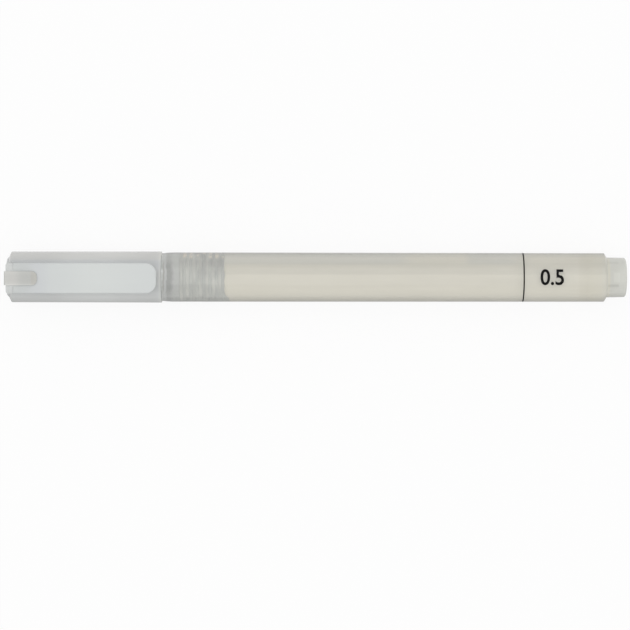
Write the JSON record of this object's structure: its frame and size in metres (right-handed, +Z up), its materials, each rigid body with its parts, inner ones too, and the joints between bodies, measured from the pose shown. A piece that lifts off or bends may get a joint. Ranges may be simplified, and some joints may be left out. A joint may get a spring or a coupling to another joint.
{
  "type": "paint marker",
  "caption": "Fine-tip paint marker with a valve-fed nib, a clear paint-filled barrel, a tail plug and a pull-off cap with a pocket clip.",
  "frame": {"origin": "on the surface that the pen lies on, under the middle of its capped length", "axes": "+X along the pen towards the tail, with the cap and nib towards -X; +Z up, with the clip on top"},
  "size_m": [0.14, 0.0116, 0.0142],
  "materials": {
    "clear_barrel": "frosted clear polypropylene, gloss outside",
    "plug_plastic": "natural polypropylene, semi-gloss",
    "section_plastic": "natural polypropylene, semi-gloss",
    "sleeve_steel": "polished",
    "nib_plastic": "hard bonded fibre",
    "holder_plastic": "moulded",
    "wick_fibre": "bundled fibre",
    "absorber_fibre": "bundled fibre",
    "cage_plastic": "natural polypropylene",
    "seat_rubber": "soft",
    "stem_plastic": "moulded",
    "spring_steel": "drawn wire",
    "retainer_plastic": "moulded",
    "paint": "liquid paint on the wall",
    "ball_steel": "polished",
    "cap_plastic": "frosted polypropylene, semi-gloss",
    "inner_cap_plastic": "natural polyethylene",
    "end_plug_plastic": "frosted polypropylene, semi-gloss",
    "tongue_plastic": "frosted polypropylene, semi-gloss",
    "clip_plastic": "frosted polypropylene, semi-gloss"
  },
  "bodies": {
    "pen_body": {"barrel": "clear_barrel", "tail_plug": "plug_plastic", "front_section": "section_plastic", "absorber_ring": "absorber_fibre", "valve_cage": "cage_plastic", "valve_seat": "seat_rubber", "valve_spring": "spring_steel", "spring_retainer": "retainer_plastic", "paint_film": "paint"},
    "nib_unit": {"nib": "nib_plastic", "nib_sleeve": "sleeve_steel", "nib_holder": "holder_plastic", "feed_wick": "wick_fibre"},
    "valve": {"valve_stem": "stem_plastic"},
    "ball": {"mixing_ball": "ball_steel"},
    "cap": {"cap_shell": "cap_plastic", "inner_cap": "inner_cap_plastic", "cap_end_plug": "end_plug_plastic", "clip_tongue": "tongue_plastic"},
    "clip": {"pocket_clip": "clip_plastic"}
  },
  "joints": [
    {"name": "cap_pull", "type": "slide", "parent": "pen_body", "child": "cap", "axis": [-1, 0, 0], "range_m": [0, 0.06]},
    {"name": "clip_lift", "type": "hinge", "parent": "cap", "child": "clip", "pos_m": [-0.06259, 0, 0.01223], "axis": [0, -1, 0], "range_deg": [0, 4], "stiffness_Nm_per_rad": 0.5, "springref_deg": -0.11},
    {"name": "nib_press", "type": "slide", "parent": "pen_body", "child": "nib_unit", "axis": [1, 0, 0], "range_m": [0, 0.0012], "stiffness_N_per_m": 300, "springref_m": -0.0003},
    {"name": "valve_lift", "type": "slide", "parent": "pen_body", "child": "valve", "axis": [1, 0, 0], "range_m": [0, 0.0012], "deforming": ["valve_spring"]},
    {"name": "ball_run", "type": "slide", "parent": "pen_body", "child": "ball", "axis": [1, 0, 0], "range_m": [-0.0375, 0.0375]}
  ],
  "couplings": [
    {"joint": "valve_lift", "follows": "nib_press", "ratio": 1}
  ]
}
